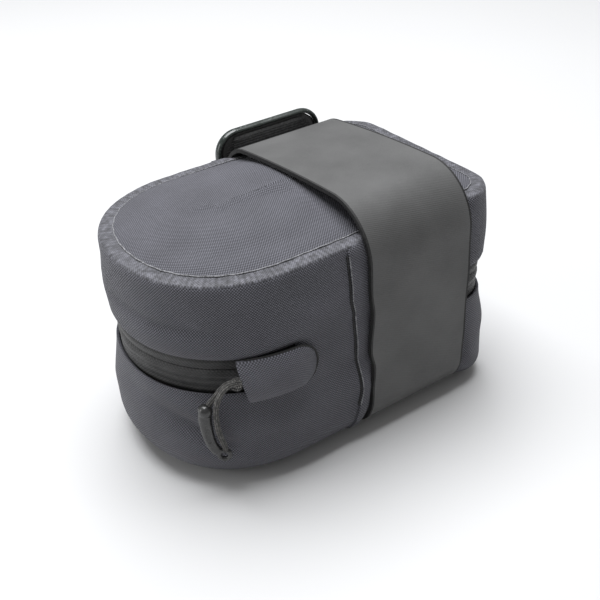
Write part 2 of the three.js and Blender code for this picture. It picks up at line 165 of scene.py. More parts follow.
def turn_outward(piece, inside_point):
    """Faces of an open sheet are turned to look away from a point."""
    make_active(piece)
    bpy.ops.object.mode_set(mode="EDIT")
    bpy.ops.mesh.select_all(action="SELECT")
    bpy.ops.mesh.normals_make_consistent(inside=False)
    mesh = bmesh.from_edit_mesh(piece.data)
    centre = Vector(inside_point) * MM
    facing = sum(face.normal.dot(face.calc_center_median() - centre) * face.calc_area() for face in mesh.faces)
    if facing < 0:
        bpy.ops.mesh.flip_normals()
    bpy.ops.object.mode_set(mode="OBJECT")


def join_pieces(name, pieces):
    deselect()
    for piece in pieces:
        piece.select_set(True)
    bpy.context.view_layer.objects.active = pieces[0]
    bpy.ops.object.join()
    return start_piece(name)


def dress(piece, slot, *materials):
    piece.data.materials.clear()
    for material in materials:
        piece.data.materials.append(material)


def ease(value, low, high):
    """0 before low, 1 after high, and a smooth rise between."""
    share = min(max((value - low) / (high - low), 0), 1)
    return share * share * (3 - 2 * share)


def hump(value, centre, width):
    return math.exp(-(((value - centre) / width) ** 2))


def wavy(value, places, values):
    """A smooth line through a few values."""
    index = int(np.clip(np.searchsorted(places, value) - 1, 0, len(places) - 2))
    share = ease(value, places[index], places[index + 1])
    return values[index] + (values[index + 1] - values[index]) * share


def spaced(start, end, step):
    count = max(int(round((end - start) / step)), 2)
    return np.linspace(start, end, count + 1)


def lengths_of(points):
    points = np.array(points, float)
    steps = np.linalg.norm(np.diff(points, axis=0), axis=1)
    return [0, *np.cumsum(steps)]


def arc(centre, radius, start, end, steps):
    turns = np.radians(np.linspace(start, end, steps + 1))
    return [(centre[0] + radius * math.cos(turn), centre[1] + radius * math.sin(turn)) for turn in turns]


# Lofting: a rim of points is extruded ring by ring, and each new ring is pulled to its place.


def loft(name, stations, rings, place, lengths, closed=False):
    """place(station, ring) gives a point. lengths is (along the stations, along the rings)."""
    deselect()
    bpy.ops.mesh.primitive_circle_add(vertices=stations, radius=MM)
    piece = start_piece(name)
    bpy.ops.object.mode_set(mode="EDIT")
    mesh = bmesh.from_edit_mesh(piece.data)
    station_of = mesh.verts.layers.int.new("station")
    mesh.verts.layers.int.new("ring")
    mesh.verts.ensure_lookup_table()
    for index, corner in enumerate(mesh.verts):
        corner[station_of] = index
        corner.co = Vector(place(index, 0)) * MM
    if not closed:
        for edge in mesh.edges:
            edge.select = {corner[station_of] for corner in edge.verts} == {0, stations - 1}
        bmesh.update_edit_mesh(piece.data)
        bpy.ops.mesh.select_mode(type="EDGE")
        bpy.ops.mesh.delete(type="EDGE")
    bpy.ops.mesh.select_mode(type="VERT")
    bpy.ops.mesh.select_all(action="SELECT")
    for ring in range(1, rings):
        bpy.ops.mesh.extrude_edges_move()
        mesh = bmesh.from_edit_mesh(piece.data)
        station_of = mesh.verts.layers.int["station"]
        ring_of = mesh.verts.layers.int["ring"]
        for corner in mesh.verts:
            if corner.select:
                corner[ring_of] = ring
                corner.co = Vector(place(corner[station_of], ring)) * MM
    map_cloth(mesh, lengths, closed)
    bmesh.update_edit_mesh(piece.data)
    bpy.ops.object.mode_set(mode="OBJECT")
    return piece


def map_cloth(mesh, lengths, closed):
    """The map gives each point its distance along and across the cloth, in metres."""
    station_of = mesh.verts.layers.int["station"]
    ring_of = mesh.verts.layers.int["ring"]
    along, across = lengths
    layer = mesh.loops.layers.uv.new("Cloth")
    for face in mesh.faces:
        stations = [loop.vert[station_of] for loop in face.loops]
        wraps = closed and max(stations) - min(stations) > 2
        for loop in face.loops:
            station = loop.vert[station_of]
            u = along[station]
            if wraps and station == 0:
                u = along[-1] + (along[-1] - along[-2])
            layer_uv = loop[layer]
            layer_uv.uv = (u * MM, across[loop.vert[ring_of]] * MM)


def plan_map(piece):
    """Lays the cloth map flat, so that the weave runs straight along the bag."""
    layer = piece.data.uv_layers["Cloth"]
    for loop in piece.data.loops:
        corner = piece.data.vertices[loop.vertex_index].co
        layer.data[loop.index].uv = (corner.x, corner.y)


def tube(name, route, reach, sides=12, flat=None):
    """A closed tube round a route. reach(share) gives its two half widths; flat fixes its first side."""
    points = [Vector(point) for point in route]
    steps = lengths_of(route)
    total = steps[-1]
    sideways = []
    side = Vector(flat) if flat else (points[1] - points[0]).orthogonal()
    for index, point in enumerate(points):
        along = points[min(index + 1, len(points) - 1)] - points[max(index - 1, 0)]
        along.normalize()
        side = (side - along * side.dot(along)).normalized()
        sideways.append((side.copy(), along.cross(side)))

    def place(station, ring):
        turn = 2 * math.pi * station / sides
        first, second = sideways[ring]
        half_first, half_second = reach(steps[ring] / total)
        return points[ring] + first * (math.cos(turn) * half_first) + second * (math.sin(turn) * half_second)

    around = [2 * math.pi * reach(0.5)[0] * index / sides for index in range(sides)]
    piece = loft(name, sides, len(points), place, (around, steps), closed=True)
    make_active(piece)
    bpy.ops.object.mode_set(mode="EDIT")
    bpy.ops.mesh.select_all(action="DESELECT")
    bpy.ops.mesh.select_mode(type="EDGE")
    bpy.ops.mesh.select_non_manifold()
    bpy.ops.mesh.edge_face_add()
    bpy.ops.mesh.select_all(action="SELECT")
    bpy.ops.mesh.normals_make_consistent(inside=False)
    bpy.ops.object.mode_set(mode="OBJECT")
    return piece


def through(points, step):
    """Points close together on a smooth line through a few."""
    points = [Vector(point) for point in points]
    ends = [2 * points[0] - points[1], *points, 2 * points[-1] - points[-2]]
    line = []
    for before, here, there, after in zip(ends, ends[1:], ends[2:], ends[3:]):
        count = max(int((there - here).length / step), 1)
        for index in range(count):
            t = index / count
            line.append(0.5 * (
                2 * here + (there - before) * t + (2 * before - 5 * here + 4 * there - after) * t * t
                + (3 * here - before - 3 * there + after) * t ** 3
            ))
    return [*line, points[-1]]


def settle(piece, is_held, cap, pressure=4.0):
    """Cloth simulation: the sheet fills out under pressure. Held points stay, and none moves past cap."""
    rest = [corner.co.copy() for corner in piece.data.vertices]
    held = piece.vertex_groups.new(name="held")
    held.add([corner.index for corner in piece.data.vertices if is_held(corner.co / MM)], 1, "REPLACE")
    make_active(piece)
    cloth = piece.modifiers.new("Cloth", "CLOTH")
    cloth.settings.vertex_group_mass = "held"
    cloth.settings.use_pressure = True
    cloth.settings.uniform_pressure_force = pressure
    cloth.settings.effector_weights.gravity = 0
    cloth.settings.bending_stiffness = 4
    for step in range(1, 21):
        bpy.context.scene.frame_set(step)
    bpy.ops.object.modifier_apply(modifier=cloth.name)
    for corner, start in zip(piece.data.vertices, rest):
        moved = corner.co - start
        if moved.length > cap * MM:
            corner.co = start + moved * (cap * MM / moved.length)
    piece.vertex_groups.clear()
    bpy.context.scene.frame_set(1)


# Materials


class Finish:
    """A new material, and short ways to add and join its nodes."""

    def __init__(self, name, roughness, **sockets):
        self.material = bpy.data.materials.new(name)
        self.material.use_nodes = True
        self.tree = self.material.node_tree
        self.shader = self.tree.nodes["Principled BSDF"]
        self.shader.inputs["Roughness"].default_value = roughness
        for key, value in sockets.items():
            self.shader.inputs[key.replace("_", " ")].default_value = value

    def add(self, kind, **values):
        node = self.tree.nodes.new(kind)
        for key, value in values.items():
            setattr(node, key, value)
        return node

    def feed(self, socket, value):
        if isinstance(value, (int, float)):
            socket.default_value = value
        else:
            self.tree.links.new(value, socket)

    def math(self, operation, *values):
        node = self.add("ShaderNodeMath", operation=operation)
        for socket, value in zip(node.inputs, values):
            self.feed(socket, value)
        return node.outputs[0]

    def object_place(self):
        return self.add("ShaderNodeTexCoord").outputs["Object"]

    def cloth_place(self):
        return self.add("ShaderNodeUVMap", uv_map="Cloth").outputs["UV"]

    def noise(self, vector, scale, detail=3, stretch=None):
        node = self.add("ShaderNodeTexNoise")
        node.inputs["Scale"].default_value = scale
        node.inputs["Detail"].default_value = detail
        if stretch:
            mapping = self.add("ShaderNodeMapping")
            mapping.inputs["Scale"].default_value = stretch
            self.feed(mapping.inputs["Vector"], vector)
            vector = mapping.outputs["Vector"]
        self.feed(node.inputs["Vector"], vector)
        return node.outputs["Fac"]

    def ramp(self, value, *stops):
        node = self.add("ShaderNodeValToRGB")
        elements = node.color_ramp.elements
        while len(elements) < len(stops):
            elements.new(0.5)
        for element, (position, colour) in zip(elements, stops):
            element.position = position
            element.color = (*colour, 1)
        self.feed(node.inputs["Fac"], value)
        return node.outputs["Color"]

    def bump(self, height, depth, after=None):
        """depth is how far, in millimetres, the height from 0 to 1 stands out."""
        node = self.add("ShaderNodeBump")
        node.inputs["Distance"].default_value = depth * MM
        self.feed(node.inputs["Height"], height)
        if after is not None:
            self.feed(node.inputs["Normal"], after)
        return node.outputs["Normal"]

    def waves(self, value, pitch):
        """A sine from -1 to 1 that repeats every pitch millimetres."""
        return self.math("SINE", self.math("MULTIPLY", value, 2 * math.pi / (pitch * MM)))

    def split(self, vector):
        node = self.add("ShaderNodeSeparateXYZ")
        self.feed(node.inputs[0], vector)
        return node.outputs[0], node.outputs[1]

    def paint(self, colour, normal=None, roughness=None):
        self.feed(self.shader.inputs["Base Color"], colour)
        if normal is not None:
            self.feed(self.shader.inputs["Normal"], normal)
        if roughness is not None:
            self.feed(self.shader.inputs["Roughness"], roughness)
        return self.material


MADE = {}


def once(build):
    """A finish is made the first time that a piece asks for it."""
    def get():
        if build.__name__ not in MADE:
            MADE[build.__name__] = build()
        return MADE[build.__name__]
    return get


def grey(value, blue=1.0):
    return (value, value, value * blue)


WEAVE_PITCH = 1.1


def woven(name, dark, light, rough, depth, blue=1.16):
    """Plain weave: a yarn rises where it passes over the one that crosses it."""
    finish = Finish(name, rough, Sheen_Weight=0.08, Sheen_Roughness=0.45, Specular_IOR_Level=0.3)
    along, across = finish.split(finish.cloth_place())
    place = finish.object_place()
    crossing = finish.math("MULTIPLY", finish.waves(along, WEAVE_PITCH), finish.waves(across, WEAVE_PITCH))
    weave = finish.math("MULTIPLY_ADD", crossing, 0.5, 0.5)
    blotches = finish.noise(place, 55, 4)
    fibres = finish.noise(place, 1800, 2)
    tone = finish.math("MULTIPLY_ADD", weave, 0.75, finish.math("MULTIPLY", fibres, 0.2))
    tone = finish.math("MULTIPLY_ADD", blotches, 0.2, tone)
    middle = dark * 0.7 + light * 0.3
    colour = finish.ramp(tone, (0.25, grey(dark, blue)), (0.6, grey(middle, blue)), (0.95, grey(light, blue)))
    soft = finish.bump(blotches, 0.5)
    return finish.paint(colour, finish.bump(weave, depth, after=soft))


@once
def bag_cloth():
    return woven("bag_cloth", 0.024, 0.19, 0.68, 0.26)


@once
def garage_cloth():
    return woven("garage_cloth", 0.03, 0.22, 0.62, 0.3)


@once
def cut_edge_and_painted_highlight():
    # Pale cut threads, painted lighter than their own colour as a highlight, so that cut rims that face away from
    # the lamps still show as a light line.
    finish = Finish("pale_cut_threads_and_painted_highlight", 0.9)
    threads = finish.noise(finish.object_place(), 1400, 3)
    colour = finish.ramp(threads, (0.3, grey(0.07, 1.05)), (0.7, grey(0.34, 1.05)))
    return finish.paint(colour, finish.bump(threads, 0.2))


@once
def weld_band():
    """The weave pressed by a ribbed welding wheel, with a rib every 2 mm along the edge."""
    finish = Finish("weld_band", 0.6, Sheen_Weight=0.1, Specular_IOR_Level=0.4)
    along, across = finish.split(finish.cloth_place())
    place = finish.object_place()
    crossing = finish.math("MULTIPLY", finish.waves(along, WEAVE_PITCH), finish.waves(across, WEAVE_PITCH))
    ribs = finish.math("POWER", finish.math("ABSOLUTE", finish.waves(along, 4.2)), 4)
    worn = finish.noise(place, 520, 4)
    tone = finish.math("MULTIPLY_ADD", crossing, 0.2, worn)
    tone = finish.math("MULTIPLY_ADD", ribs, -0.1, tone)
    colour = finish.ramp(tone, (0.2, grey(0.03, 1.1)), (0.5, grey(0.075, 1.15)), (0.8, grey(0.17, 1.15)))
    pressed = finish.bump(finish.math("MULTIPLY", ribs, -1), 0.1)
    return finish.paint(colour, finish.bump(tone, 0.2, after=pressed))


@once
def foam_sheet():
    finish = Finish("foam_sheet", 0.95)
    cells = finish.noise(finish.object_place(), 1600, 2)
    return finish.paint(finish.ramp(cells, (0.3, grey(0.012)), (0.7, grey(0.035))), finish.bump(cells, 0.15))


@once
def zip_tape():
    """Smooth coated tape with a fine net pressed into it."""
    finish = Finish("zip_tape", 0.5, Specular_IOR_Level=0.45)
    along, across = finish.split(finish.cloth_place())
    net = finish.math("MULTIPLY", finish.waves(along, 1.5), finish.waves(across, 1.3))
    rows = finish.waves(across, 3.1)
    worn = finish.noise(finish.object_place(), 160, 4)
    tone = finish.math("MULTIPLY_ADD", rows, 0.08, finish.math("MULTIPLY_ADD", net, 0.14, worn))
    colour = finish.ramp(tone, (0.25, grey(0.014)), (0.75, grey(0.05)))
    ridged = finish.bump(rows, 0.22, after=finish.bump(worn, 0.12))
    return finish.paint(colour, finish.bump(net, 0.12, after=ridged))


@once
def zip_coil():
    finish = Finish("zip_coil", 0.35)
    worn = finish.noise(finish.object_place(), 700, 2)
    return finish.paint(finish.ramp(worn, (0.3, grey(0.006)), (0.7, grey(0.016))), finish.bump(worn, 0.04))


@once
def strap_rubber():
    """Rubberised face over a fine ribbed cloth that shows through a little."""
    finish = Finish("strap_rubber", 0.58, Specular_IOR_Level=0.4)
    along, across = finish.split(finish.cloth_place())
    place = finish.object_place()
    ribs = finish.waves(finish.math("MULTIPLY_ADD", along, 0.5, across), 0.85)
    fine = finish.noise(place, 2400, 2)
    wide = finish.noise(place, 40, 4)
    tone = finish.math("MULTIPLY_ADD", ribs, 0.05, finish.math("MULTIPLY_ADD", fine, 0.35, wide))
    colour = finish.ramp(tone, (0.45, grey(0.066, 0.99)), (0.85, grey(0.096, 0.99)))
    soft = finish.bump(wide, 0.7)
    ribbed = finish.bump(ribs, 0.018, after=soft)
    return finish.paint(colour, finish.bump(fine, 0.05, after=ribbed))


@once
def black_edge_and_painted_shadow():
    # Near-black fibres: the strap's own cut edges, and also the dark lines painted as shadow beside the side
    # seams, round the garage hood and on its rim.
    finish = Finish("black_edge_and_painted_shadow", 0.7)
    fibres = finish.noise(finish.object_place(), 1500, 3)
    return finish.paint(finish.ramp(fibres, (0.3, grey(0.004)), (0.75, grey(0.02))), finish.bump(fibres, 0.15))


@once
def hook_tape():
    finish = Finish("hook_tape", 0.6, Specular_IOR_Level=0.6)
    worn = finish.noise(finish.object_place(), 900, 3)
    return finish.paint(finish.ramp(worn, (0.35, grey(0.006)), (0.8, grey(0.05))), finish.bump(worn, 0.1))


@once
def loop_tape():
    finish = Finish("loop_tape", 1.0, Sheen_Weight=0.4, Sheen_Roughness=0.6)
    pile = finish.noise(finish.object_place(), 1300, 4)
    return finish.paint(finish.ramp(pile, (0.3, grey(0.006)), (0.7, grey(0.04))), finish.bump(pile, 0.6))


@once
def glossy_binding():
    """Thin moulded binding with a green cast and fine light specks scattered over it."""
    finish = Finish("glossy_binding", 0.28, Specular_IOR_Level=0.6)
    place = finish.object_place()
    specks = finish.noise(place, 1100, 2)
    worn = finish.noise(place, 90, 3)
    colour = finish.ramp(
        specks, (0.3, (0.012, 0.016, 0.014)), (0.66, (0.03, 0.038, 0.034)), (0.78, (0.25, 0.27, 0.25)),
    )
    return finish.paint(colour, finish.bump(worn, 0.2), finish.ramp(worn, (0.3, grey(0.2)), (0.7, grey(0.42))))


@once
def grip_plastic():
    finish = Finish("grip_plastic", 0.22, Specular_IOR_Level=0.6)
    place = finish.object_place()
    worn = finish.noise(place, 300, 4)
    colour = finish.ramp(worn, (0.3, grey(0.014)), (0.75, grey(0.035)))
    return finish.paint(colour, finish.bump(worn, 0.04), finish.ramp(worn, (0.3, grey(0.14)), (0.7, grey(0.34))))


@once
def black_metal():
    finish = Finish("black_metal", 0.35, Metallic=0.7)
    worn = finish.noise(finish.object_place(), 500, 4)
    colour = finish.ramp(worn, (0.35, grey(0.02)), (0.8, grey(0.08)))
    return finish.paint(colour, finish.bump(worn, 0.03))


@once
def cord_braid():
    """Two sets of yarns that cross on the slant, with a few pale flecks painted on as the cord's small highlights.
    """
    finish = Finish("cord_braid", 0.75, Sheen_Weight=0.15)
    along, across = finish.split(finish.cloth_place())
    slant = finish.math("MULTIPLY", along, 0.6)
    left = finish.waves(finish.math("ADD", across, slant), 0.95)
    right = finish.waves(finish.math("SUBTRACT", across, slant), 0.95)
    braid = finish.math("MULTIPLY_ADD", finish.math("MULTIPLY", left, right), 0.5, 0.5)
    highlight_flecks = finish.noise(finish.object_place(), 900, 2)
    tone = finish.math("MULTIPLY_ADD", highlight_flecks, 0.7, finish.math("MULTIPLY", braid, 0.5))
    colour = finish.ramp(
        tone, (0.35, (0.008, 0.008, 0.008)), (0.7, (0.05, 0.048, 0.045)), (0.9, (0.28, 0.27, 0.25)),
    )
    return finish.paint(colour, finish.bump(braid, 0.22))


# Pull


def pull_point(u, w, z):
    """u runs along the nose away from the garage, and w outward."""
    radius = PULL_RADIUS + w
    x = NOSE_X + radius * math.cos(PULL_ANGLE) + u * math.sin(PULL_ANGLE)
    y = radius * math.sin(PULL_ANGLE) - u * math.cos(PULL_ANGLE)
    return Vector((x, y, z))


def make_pull_cord(knot, grip):
    """One cord from the bulb of the grip, up through the knot and back down to the ring."""
    turn_back = [(-5.4, -1.5, 52.1), (-7.0, -1.3, 53.2), (-7.6, -0.4, 53.4), (-6.8, 0.3, 53.1), (-5.2, 0.5, 52.7)]
    into_bulb = [(4.4, 0.6, 43.0), (5.1, 1.1, 42.0)]
    into_ring = [(-0.5, 2, 22.6)]
    route = [*reversed(into_bulb), *reversed(SHORT_STRAND), *turn_back, *LONG_STRAND, *into_ring]
    line = through([pull_point(*point) for point in route], 0.45)
    reach = CORD_DIAMETER / 2
    cord = tube("pull_cord", line, lambda share: (reach, reach), sides=14)
    smooth(cord, 60)
    dress(cord, "cord_braid", cord_braid())
    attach(cord, "pull")
    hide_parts("pull_cord_short", "pull_cord_long")


def make_pull_knot():
    """The cord wraps round itself where it leaves the bail of the slider."""
    centre = pull_point(*KNOT)
    outward = Vector((math.cos(PULL_ANGLE), math.sin(PULL_ANGLE), 0))
    sideways = outward.cross(Vector((0, 0, 1)))
    turns = 2.6
    line = []
    for share in np.linspace(0, 1, 60):
        turn = 2 * math.pi * turns * share
        height = (share - 0.5) * 3.6
        radius = 1.35 - 0.5 * abs(2 * share - 1) ** 3
        point = centre + sideways * (radius * math.cos(turn) + 0.12 * height) + outward * radius * math.sin(turn)
        line.append(point + Vector((0, 0, -height)))
    knot = tube("knot_wraps", line, lambda share: (0.95, 0.95), sides=12)
    smooth(knot, 60)
    dress(knot, "cord_braid", cord_braid())
    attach(knot, "pull")
    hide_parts("pull_knot")
    return knot


def add_ball(centre, radius, stretch=(1, 1, 1)):
    deselect()
    bpy.ops.mesh.primitive_uv_sphere_add(segments=32, ring_count=20, radius=radius * MM, location=centre * MM)
    ball = start_piece("ball")
    ball.scale = stretch
    return set_in_place(ball)


def make_pull_grip():
    """A curved moulding with a bulb for one end of the cord and a ring for the other."""
    outward = Vector((math.cos(PULL_ANGLE), math.sin(PULL_ANGLE), 0))
    line = through([pull_point(*point) for point in GRIP_SPINE[:-1]], 0.5)
    spine = tube("spine", line, lambda share: (2.1 - 0.2 * share, 2.7 - 0.7 * share), sides=20, flat=outward)
    bulb = add_ball(pull_point(5.5, 1.3, 41.2), 2.75)
    deselect()
    bpy.ops.mesh.primitive_torus_add(
        major_radius=2.1 * MM, minor_radius=0.95 * MM, major_segments=40, minor_segments=16,
        location=pull_point(*GRIP_RING) * MM, rotation=(math.pi / 2, 0, PULL_ANGLE + math.pi / 2),
    )
    ring = set_in_place(start_piece("ring"))
    grip = join_pieces("grip", [spine, bulb, ring])
    hollow = add_ball(pull_point(4.4, 4.7, 32.5), 1.7, (1, 1, 3.4))
    add_modifier(grip, "REMESH", mode="VOXEL", voxel_size=0.2 * MM)
    add_modifier(grip, "BOOLEAN", operation="DIFFERENCE", object=hollow, solver="EXACT")
    bpy.data.objects.remove(hollow)
    add_modifier(grip, "REMESH", mode="VOXEL", voxel_size=0.2 * MM)
    add_modifier(grip, "SMOOTH", factor=0.5, iterations=4)
    smooth(grip, 60)
    dress(grip, "black_plastic", grip_plastic())
    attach(grip, "pull")
    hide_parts("pull_grip")
    return grip


# Plan outline of the shell


def outline_points():
    """Points close together, from the seam on the near side round the nose and the rear end."""
    corner_x = LENGTH / 2 - REAR_CORNER
    corner_y = HALF - REAR_CORNER
    points = [(x, -HALF) for x in np.linspace(SEAM_X, NOSE_X, 60)]
    for turn in np.radians(np.linspace(-90, -270, 500)):
        points.append((NOSE_X + HALF * math.cos(turn), HALF * math.sin(turn)))
    points += [(x, HALF) for x in np.linspace(NOSE_X, corner_x, 200)]
    points += arc((corner_x, corner_y), REAR_CORNER, 90, 0, 120)
    points += arc((corner_x, -corner_y), REAR_CORNER, 0, -90, 120)
    points += [(x, -HALF) for x in np.linspace(corner_x, SEAM_X, 200)]
    return np.array(points)


class Outline:
    """The plan outline by the distance along it from the near seam."""

    def __init__(self):
        points = outline_points()
        self.points = points[np.r_[True, np.linalg.norm(np.diff(points, axis=0), axis=1) > 1e-6]]
        self.far = np.array(lengths_of(self.points))
        self.length = self.far[-1]
        self.far_seam = (NOSE_X - SEAM_X) * -2 + math.pi * HALF

    def at(self, distance):
        distance = distance % self.length if abs(distance - self.length) > 1e-6 else distance
        x = np.interp(distance, self.far, self.points[:, 0])
        y = np.interp(distance, self.far, self.points[:, 1])
        return float(x), float(y)

    def outward(self, distance):
        step = 0.8
        (x0, y0), (x1, y1) = self.at(distance - step), self.at(distance + step)
        along = math.hypot(x1 - x0, y1 - y0)
        return -(y1 - y0) / along, (x1 - x0) / along

    def fullness(self, distance):
        """How far the nose stands out of its half circle, most halfway between its tip and its sides."""
        x, y = self.at(distance)
        if x > NOSE_X:
            return 0
        turn = math.atan2(y, NOSE_X - x)
        return NOSE_FULLNESS * math.sin(2 * turn) ** 2

    def inset(self, distance, inset):
        """Square to the outline near it, and further in towards the long middle line."""
        x, y = self.at(distance)
        nx, ny = self.outward(distance)
        square = 9
        near = min(inset, square)
        px, py = x - nx * near, y - ny * near
        if inset > square:
            reach = LENGTH / 2 - HALF
            middle = min(max(x, -reach), reach)
            share = min((inset - square) / (HALF - square), 1)
            px, py = px + (middle - px) * share, py * (1 - share)
        return px, py

    def near_side(self, x):
        return SEAM_X - x if x <= SEAM_X else self.length - (x - SEAM_X)


OUTLINE = Outline()


# How the strap presses the shell


def strap_mask(x):
    """1 where the strap lies on the shell, 0 away from it."""
    before = ease(x, STRAP_FRONT - 3, STRAP_FRONT + 0.8)
    return before * (1 - ease(x, STRAP_FRONT + STRAP_WIDTH - 0.8, STRAP_FRONT + STRAP_WIDTH + 3))


def strap_inner_height(y):
    """Height of the inner face of the strap over the top."""
    near_y = NEAR_RADIUS - STRAP_INNER_Y
    far_y = STRAP_INNER_Y - FAR_RADIUS
    if y < near_y:
        return NEAR_Z + math.sqrt(max(NEAR_RADIUS ** 2 - (y - near_y) ** 2, 0))
    crown_end = far_y + FAR_RADIUS * math.cos(math.radians(83))
    if y > crown_end:
        return FAR_Z + math.sqrt(max(FAR_RADIUS ** 2 - (y - far_y) ** 2, 0))
    share = (y - near_y) / (crown_end - near_y)
    end = FAR_Z + FAR_RADIUS * math.sin(math.radians(83))
    return NEAR_Z + NEAR_RADIUS + (end - NEAR_Z - NEAR_RADIUS) * share + 3.2 * share * (1 - share)


def under_strap(x, y, z):
    """Cloth stays below the strap."""
    limit = strap_inner_height(y) - 0.35
    return z - strap_mask(x) * max(z - limit, 0)


def inset_under_strap(y, z):
    """The least inset at which cloth of a height fits inside the strap's bend."""
    radius, centre_z = (NEAR_RADIUS, NEAR_Z) if y < 0 else (FAR_RADIUS, FAR_Z)
    if z <= centre_z:
        return -0.8
    across = math.sqrt(max((radius - 0.4) ** 2 - (z - centre_z) ** 2, 0))
    return HALF - (STRAP_INNER_Y - radius + across)


# Walls


def seam_shift(x, z):
    """The side seams wander a little."""
    shift = wavy(z, (0, 10, 26, 46, 62, 70, 91), (-0.5, 0.2, 3.1, 1.6, 0.6, -0.9, -1.7))
    return shift * hump(x, SEAM_X, 9)


def lower_profile(x):
    """(inset, height) from the edge of the flat underside up to the zip."""
    radius = SIDE_BOTTOM_RADIUS + (REAR_BOTTOM_RADIUS - SIDE_BOTTOM_RADIUS) * ease(x, 54, 68)
    pressed = strap_mask(x)
    free = [(FLAT_INSET, 0), *arc((radius - FLARE, radius), radius, 270, 180, 14)]
    bend = arc((STRAP_INNER_Y - 33.9, BOTTOM_RADIUS + STRAP_THICKNESS), BOTTOM_RADIUS - 0.4, 270, 180, 14)
    under = [(FLAT_INSET, bend[0][1]), *bend]
    for z in (21, 24, 27, 30, 33, 35.5, 38, 40, 42, 43.1):
        free.append((-FLARE + (FLARE + 0.2) * ease(z, 26, 45), z))
        under.append((-0.8 + ease(z, 36, 44), z))
    free.append((0.5, TAPE_BOTTOM))
    under.append((0.5, TAPE_BOTTOM))
    return [np.array(a) * (1 - pressed) + np.array(b) * pressed for a, b in zip(free, under)]


def upper_profile():
    """(inset, height) from the zip up to the folded edge."""
    points = [(0.7, TAPE_TOP), (0.2, TAPE_TOP + 0.8)]
    points += [(-0.9 * hump(z, 69, 9), z) for z in np.arange(62, 88, 2)]
    return [*points, (0.15, 88.6), (0.4, 89.8), (1.1, 90.6)]


ZIP_ROWS = (45.5, 47.4, 49.2, 51, 52.8, 54.6, 56.4, 58)


def dents(x, y, z):
    """Soft dents and creases that the cloth takes in use."""
    near_nose = ease(-x, 40, 62) * ease(-y, -30, 10)
    crease = 3.2 * hump(z - 24 + 0.7 * (x + 58), 0, 4) * hump(x, -60, 12)
    fold = 1.3 * hump(z, 72 + 2 * math.sin(x * 0.05), 2.2) + 0.7 * hump(x + 0.35 * z, -37, 4) * ease(z, 60, 70)
    ripple = 0.45 * math.sin(x * 0.17 + z * 0.11) * math.sin(z * 0.15 + y * 0.09)
    free = (1 - strap_mask(x)) * ease(z, 8, 22) * (1 - ease(z, 83, 89)) * (1 - hump(z, 51.6, 6))
    return (ripple - near_nose * (crease + fold)) * free


def wall_point(distance, inset, z):
    x, y = OUTLINE.at(distance)
    pressed = strap_mask(x)
    if z > NEAR_Z - 2:
        inset = inset + pressed * max(inset_under_strap(y, z) - inset, 0)
    away_from_zip = 1 - hump(z, 51.6, 9)
    out = (OUTLINE.fullness(distance) * away_from_zip + dents(x, y, z)) * (1 - ease(inset, 3, 18))
    px, py = OUTLINE.inset(distance, inset)
    nx, ny = OUTLINE.outward(distance)
    return px + nx * out + seam_shift(px, z), py + ny * out, z


def seam_line(name, start, aside, proud, reach, low, high, material):
    """A thin line down a side seam, beside it by aside and standing proud of the nose cloth."""
    profile = [*lower_profile(SEAM_X), *upper_profile()]
    side = [point for point in profile if point[1] > SIDE_BOTTOM_RADIUS]
    insets, heights = zip(*side)
    route = []
    for z in spaced(low, high, 2):
        inset = -0.3 if TAPE_BOTTOM - 1 < z < TAPE_TOP + 1 else float(np.interp(z, heights, insets))
        x, y, height = wall_point(start, inset - proud, z)
        route.append((x + aside, y, height))
    line = tube(name, route, lambda share: (reach, reach), sides=6)
    smooth(line, 60)
    dress(line, "cloth_edge", material)
    return line


def make_seam_lines():
    """The near seam is attached to no body. The zip cuts the far seam into a lower and an upper run."""
    bottom, top = SIDE_BOTTOM_RADIUS + 2, 88
    # The first line is a near-black tube, a painted shadow beside the seam where the rear cloth's edge stands off
    # the nose cloth. The second is the pale cut edge of the rear cloth, partly a painted highlight.
    fold = (-0.7, 0.2, 0.42)
    cut = (-0.1, 1.0, 0.22)
    for part, shape, material in (("fold", fold, black_edge_and_painted_shadow()), ("cut", cut, cut_edge_and_painted_highlight())):
        near = seam_line("near_seam_" + part, 0.2, *shape, bottom, top, material)
        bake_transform(near)
        far = OUTLINE.far_seam
        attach(seam_line("far_lower_seam_" + part, far, *shape, bottom, TAPE_BOTTOM - 1.5, material), "base")
        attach(seam_line("far_upper_seam_" + part, far, *shape, TAPE_TOP + 1.5, top, material), "lid")


def near_hinge(x, y):
    """Where the near side wall isn't cut by the zip."""
    return y < 0 and ZIP_START_X - 1 < x < ZIP_END_X


def wall_cloth(name, start, end, lift):
    """One wall panel from the flat underside to the fold, open where the zip is. lift lays it on its neighbour."""
    distances = spaced(start, end, 2.4)
    low_edge = len(lower_profile(0)) - 1
    high_edge = low_edge + len(ZIP_ROWS) + 1
    profiles = []
    for distance in distances:
        x, y = OUTLINE.at(distance)
        profile = [*lower_profile(x), *((0.1, z) for z in ZIP_ROWS), *upper_profile()]
        if near_hinge(x, y):
            for ring in range(low_edge - 2, high_edge + 2):
                profile[ring] = (-0.3, profile[ring][1])
        profiles.append(profile)

    def place(station, ring):
        inset, z = profiles[station][ring]
        from_end = min(distances[station] - start, end - distances[station])
        return wall_point(distances[station], inset - lift * (1 - ease(from_end, 2, 7)), z)

    rings = len(profiles[0])
    piece = loft(name, len(distances), rings, place, (distances, lengths_of(profiles[0])))
    cut_zip_slot(piece)
    turn_outward(piece, (0, 0, 50))
    settle(piece, wall_is_held, cap=1.1)
    thicken(piece, CLOTH)
    smooth(piece)
    return piece


